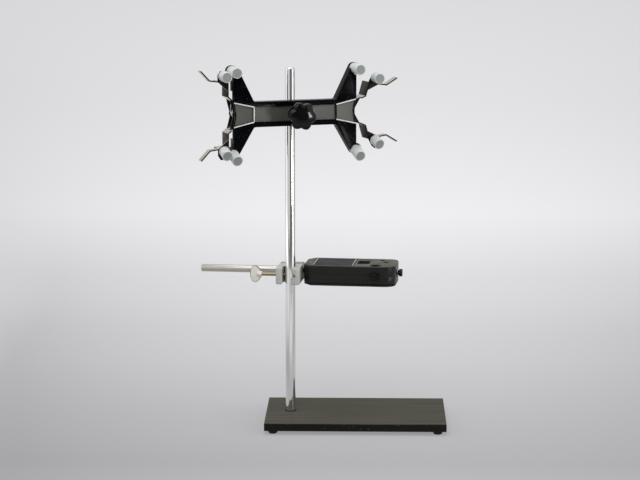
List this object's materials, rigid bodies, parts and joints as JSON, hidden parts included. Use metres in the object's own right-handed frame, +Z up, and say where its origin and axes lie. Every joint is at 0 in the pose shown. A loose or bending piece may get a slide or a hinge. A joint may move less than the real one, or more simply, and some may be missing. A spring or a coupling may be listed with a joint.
{
  "type": "retort stand",
  "caption": "Laboratory retort stand: rectangular base, upright rod, double burette clamp with sprung jaws, boss head, cross rod and probe holder arm.",
  "frame": {"origin": "middle of the stand's outline at floor level", "axes": "+Z up along the rod, +X to the right along the base plate, +Y to the back; the clamp's knob faces the front"},
  "size_m": [0.3142, 0.1408, 0.4607],
  "materials": {
    "plate_paint": "satin black enamel on steel plate",
    "black_rubber": "matt",
    "zinc_steel": "bright zinc plated",
    "chromed_steel": "polished",
    "black_enamel": "gloss black enamel on cast alloy",
    "black_plastic": "satin",
    "gloss_plastic": "gloss",
    "nickel_steel": "nickel plated",
    "grey_sleeve": "matt grey vinyl",
    "cast_alloy": "tumbled grey casting",
    "plated_brass": "dull nickel on brass",
    "black_steel": "black oxide",
    "blank_label": "satin printed panel, left blank"
  },
  "bodies": {
    "stand": {"base_plate": "plate_paint", "upright_rod": "chromed_steel", "rod_foot_ring": "black_rubber", "rod_fixing_screw": "zinc_steel", "foot_front_left": "black_rubber", "foot_front_right": "black_rubber", "foot_back_left": "black_rubber", "foot_back_right": "black_rubber", "foot_screw_front_left": "zinc_steel", "foot_screw_front_right": "zinc_steel", "foot_screw_back_left": "zinc_steel", "foot_screw_back_right": "zinc_steel"},
    "clamp_slider": {"clamp_rod_liner": "black_plastic"},
    "clamp": {"clamp_casting": "black_enamel", "fixed_prong_upper_left": "nickel_steel", "fixed_prong_upper_right": "nickel_steel", "fixed_prong_lower_left": "nickel_steel", "fixed_prong_lower_right": "nickel_steel", "fixed_sleeve_upper_left": "grey_sleeve", "fixed_sleeve_upper_right": "grey_sleeve", "fixed_sleeve_lower_left": "grey_sleeve", "fixed_sleeve_lower_right": "grey_sleeve", "pivot_pin_left": "zinc_steel", "pivot_pin_right": "zinc_steel", "pivot_clip_left": "zinc_steel", "pivot_clip_right": "zinc_steel", "jaw_spring_left": "zinc_steel", "jaw_spring_right": "zinc_steel"},
    "clamp_spindle": {"clamp_screw": "zinc_steel"},
    "clamp_handle": {"clamp_knob": "gloss_plastic"},
    "jaw_upper_left": {"jaw_lever_upper_left": "nickel_steel", "jaw_prong_upper_left": "nickel_steel", "jaw_sleeve_upper_left": "grey_sleeve"},
    "jaw_upper_right": {"jaw_lever_upper_right": "nickel_steel", "jaw_prong_upper_right": "nickel_steel", "jaw_sleeve_upper_right": "grey_sleeve"},
    "jaw_lower_left": {"jaw_lever_lower_left": "nickel_steel", "jaw_prong_lower_left": "nickel_steel", "jaw_sleeve_lower_left": "grey_sleeve"},
    "jaw_lower_right": {"jaw_lever_lower_right": "nickel_steel", "jaw_prong_lower_right": "nickel_steel", "jaw_sleeve_lower_right": "grey_sleeve"},
    "boss_slider": {"boss_rod_liner": "chromed_steel"},
    "boss": {"boss_head": "cast_alloy"},
    "boss_side_spindle": {"boss_side_screw": "plated_brass"},
    "boss_side_handle": {"boss_side_wing": "plated_brass"},
    "boss_back_spindle": {"boss_back_screw": "plated_brass"},
    "boss_back_handle": {"boss_back_wing": "plated_brass"},
    "cross_bar": {"cross_rod": "chromed_steel"},
    "arm": {"arm_body": "black_plastic", "arm_bottom_cover": "black_plastic", "arm_blank_panel": "blank_label", "arm_stud": "black_steel", "arm_cover_screw_1": "zinc_steel", "arm_cover_screw_2": "zinc_steel"},
    "arm_front_spindle": {"arm_front_screw": "zinc_steel"},
    "arm_front_handle": {"arm_front_knob": "black_plastic"},
    "arm_end_spindle": {"arm_end_screw": "zinc_steel"},
    "arm_end_handle": {"arm_end_knob": "black_plastic"}
  },
  "joints": [
    {"name": "clamp_slide", "type": "slide", "parent": "stand", "child": "clamp_slider", "axis": [0, 0, 1], "range_m": [-0.1, 0.04]},
    {"name": "clamp_swivel", "type": "hinge", "parent": "clamp_slider", "child": "clamp", "pos_m": [-0.04054, 0.00054, 0.3998], "axis": [0, 0, 1], "continuous": true},
    {"name": "clamp_screw_travel", "type": "slide", "parent": "clamp", "child": "clamp_spindle", "axis": [0.3502, -0.9367, 0], "range_m": [0, 0.0075]},
    {"name": "clamp_screw_turn", "type": "hinge", "parent": "clamp_spindle", "child": "clamp_handle", "pos_m": [-0.02373, -0.04442, 0.3986], "axis": [0.3502, -0.9367, 0], "range_deg": [0, 2162]},
    {"name": "jaw_upper_left_open", "type": "hinge", "parent": "clamp", "child": "jaw_upper_left", "pos_m": [-0.10799, -0.03322, 0.3998], "axis": [0.3502, -0.9367, 0], "range_deg": [0, 38], "stiffness_Nm_per_rad": 0.12, "springref_deg": -17.19},
    {"name": "jaw_upper_right_open", "type": "hinge", "parent": "clamp", "child": "jaw_upper_right", "pos_m": [0.03251, 0.01932, 0.3998], "axis": [-0.3502, 0.9367, 0], "range_deg": [-16, 22], "stiffness_Nm_per_rad": 0.12, "springref_deg": -16},
    {"name": "jaw_lower_left_open", "type": "hinge", "parent": "clamp", "child": "jaw_lower_left", "pos_m": [-0.10799, -0.03322, 0.3998], "axis": [-0.3502, 0.9367, 0], "range_deg": [0, 38], "stiffness_Nm_per_rad": 0.12, "springref_deg": -17.19},
    {"name": "jaw_lower_right_open", "type": "hinge", "parent": "clamp", "child": "jaw_lower_right", "pos_m": [0.03251, 0.01932, 0.3998], "axis": [0.3502, -0.9367, 0], "range_deg": [-16, 22], "stiffness_Nm_per_rad": 0.12, "springref_deg": -16},
    {"name": "boss_slide", "type": "slide", "parent": "stand", "child": "boss_slider", "axis": [0, 0, 1], "range_m": [-0.14, 0.1]},
    {"name": "boss_swivel", "type": "hinge", "parent": "boss_slider", "child": "boss", "pos_m": [-0.04054, 0.00054, 0.19135], "axis": [0, 0, 1], "continuous": true},
    {"name": "boss_side_screw_travel", "type": "slide", "parent": "boss", "child": "boss_side_spindle", "axis": [-0.9945, 0.1045, 0], "range_m": [0, 0.0048]},
    {"name": "boss_side_screw_turn", "type": "hinge", "parent": "boss_side_spindle", "child": "boss_side_handle", "pos_m": [-0.0843, 0.00514, 0.1921], "axis": [-0.9945, 0.1045, 0], "range_deg": [0, 2162]},
    {"name": "boss_back_screw_travel", "type": "slide", "parent": "boss", "child": "boss_back_spindle", "axis": [0.1045, 0.9945, 0], "range_m": [0, 0.0048]},
    {"name": "boss_back_screw_turn", "type": "hinge", "parent": "boss_back_spindle", "child": "boss_back_handle", "pos_m": [-0.03568, 0.05634, 0.1933], "axis": [0.1045, 0.9945, 0], "range_deg": [0, 2162]},
    {"name": "cross_rod_slide", "type": "slide", "parent": "boss", "child": "cross_bar", "axis": [0.9945, -0.1045, 0], "range_m": [0, 0.09]},
    {"name": "arm_tilt", "type": "hinge", "parent": "cross_bar", "child": "arm", "pos_m": [-0.02269, 0.02682, 0.1933], "axis": [0.9945, -0.1045, 0], "range_deg": [-60, 60]},
    {"name": "arm_front_screw_travel", "type": "slide", "parent": "arm", "child": "arm_front_spindle", "axis": [-0.1045, -0.9945, 0], "range_m": [0, 0.0035]},
    {"name": "arm_front_screw_turn", "type": "hinge", "parent": "arm_front_spindle", "child": "arm_front_handle", "pos_m": [0.06584, -0.01667, 0.1918], "axis": [-0.1045, -0.9945, 0], "range_deg": [0, 1802]},
    {"name": "arm_end_screw_travel", "type": "slide", "parent": "arm", "child": "arm_end_spindle", "axis": [0.9945, -0.1045, 0], "range_m": [0, 0.0035]},
    {"name": "arm_end_screw_turn", "type": "hinge", "parent": "arm_end_spindle", "child": "arm_end_handle", "pos_m": [0.10005, 0.01794, 0.1918], "axis": [0.9945, -0.1045, 0], "range_deg": [0, 1802]}
  ],
  "couplings": [
    {"joint": "clamp_screw_turn", "follows": "clamp_screw_travel", "rad_per_m": 5026.5},
    {"joint": "boss_side_screw_turn", "follows": "boss_side_screw_travel", "rad_per_m": 7854},
    {"joint": "boss_back_screw_turn", "follows": "boss_back_screw_travel", "rad_per_m": 7854},
    {"joint": "arm_front_screw_turn", "follows": "arm_front_screw_travel", "rad_per_m": 8976},
    {"joint": "arm_end_screw_turn", "follows": "arm_end_screw_travel", "rad_per_m": 8976}
  ]
}
